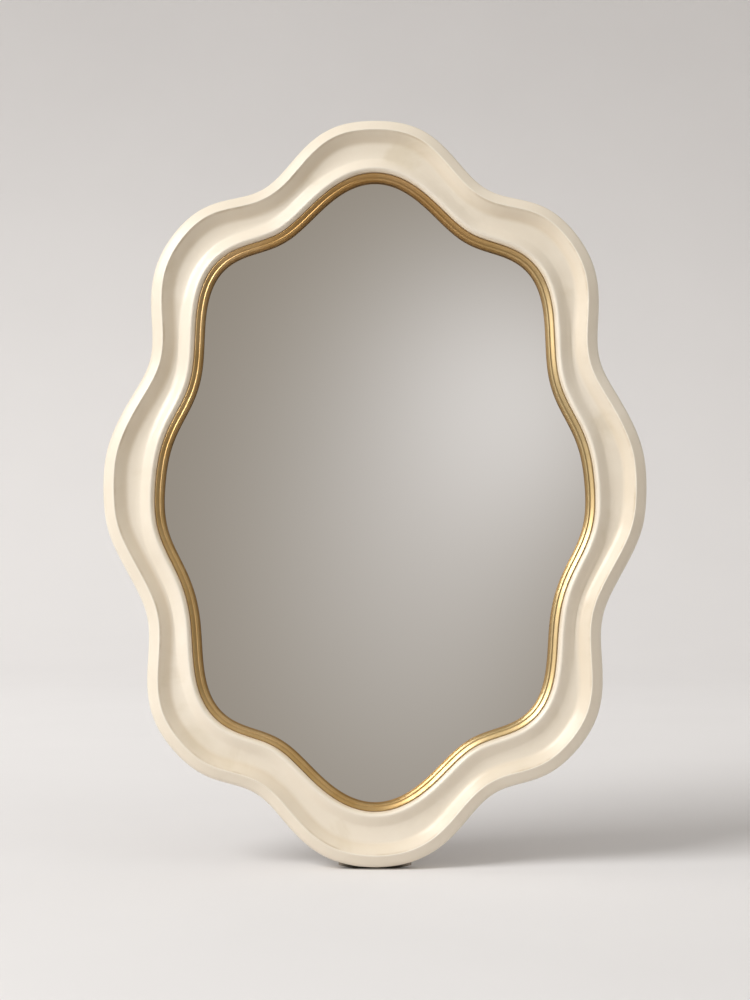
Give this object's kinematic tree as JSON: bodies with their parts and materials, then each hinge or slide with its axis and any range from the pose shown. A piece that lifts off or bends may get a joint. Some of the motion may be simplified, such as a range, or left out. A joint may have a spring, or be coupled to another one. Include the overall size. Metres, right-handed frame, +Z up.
{
  "type": "irregular shaped mirror",
  "caption": "Wavy lobed mirror in an ivory coved moulding with a gilt sight edge, leaning back on a folding easel leg, with keyhole plates for a wall.",
  "frame": {"origin": "centre of the whole depth and width, on the surface it stands on", "axes": "+Z up, +X to the viewer's right, the mirror faces -Y and leans back by 6 degrees"},
  "size_m": [0.606, 0.1248, 0.834],
  "materials": {
    "ivory_lacquer": "satin ivory lacquer over shaped wood fibre",
    "gilt": "burnished gold leaf on wood",
    "mirror": "clear silvered float glass",
    "tape": "matt black glazing tape",
    "setting_block": "matt",
    "cushion": "white foam sheet",
    "backing": "dark brown paper-faced fibreboard",
    "zinc_steel": "bright zinc plate",
    "felt": "grey-brown felt",
    "dark_rubber": "matt",
    "black_steel": "satin black",
    "leg_metal": "fine-textured black powder coat"
  },
  "bodies": {
    "mirror": {"frame_moulding": "ivory_lacquer", "gilt_sight_trim": "gilt", "mirror_glass": "mirror", "glazing_tape": "tape", "glass_setting_blocks": "setting_block", "cushion_sheet": "cushion", "back_board": "backing", "back_board_screws": "zinc_steel", "keyhole_plate_left": "zinc_steel", "keyhole_plate_right": "zinc_steel", "keyhole_plate_screws": "zinc_steel", "wall_bumpers": "felt", "standing_pad": "dark_rubber", "easel_hinge_plate": "black_steel", "easel_hinge_pin": "zinc_steel", "easel_hinge_screws": "zinc_steel"},
    "easel_leg": {"easel_leg": "leg_metal", "leg_rubber_shoe": "dark_rubber"}
  },
  "joints": [
    {"name": "easel_leg_hinge", "type": "hinge", "parent": "mirror", "child": "easel_leg", "pos_m": [0, 0.01309, 0.4361], "axis": [1, 0, 0], "range_deg": [-12, 0]}
  ]
}
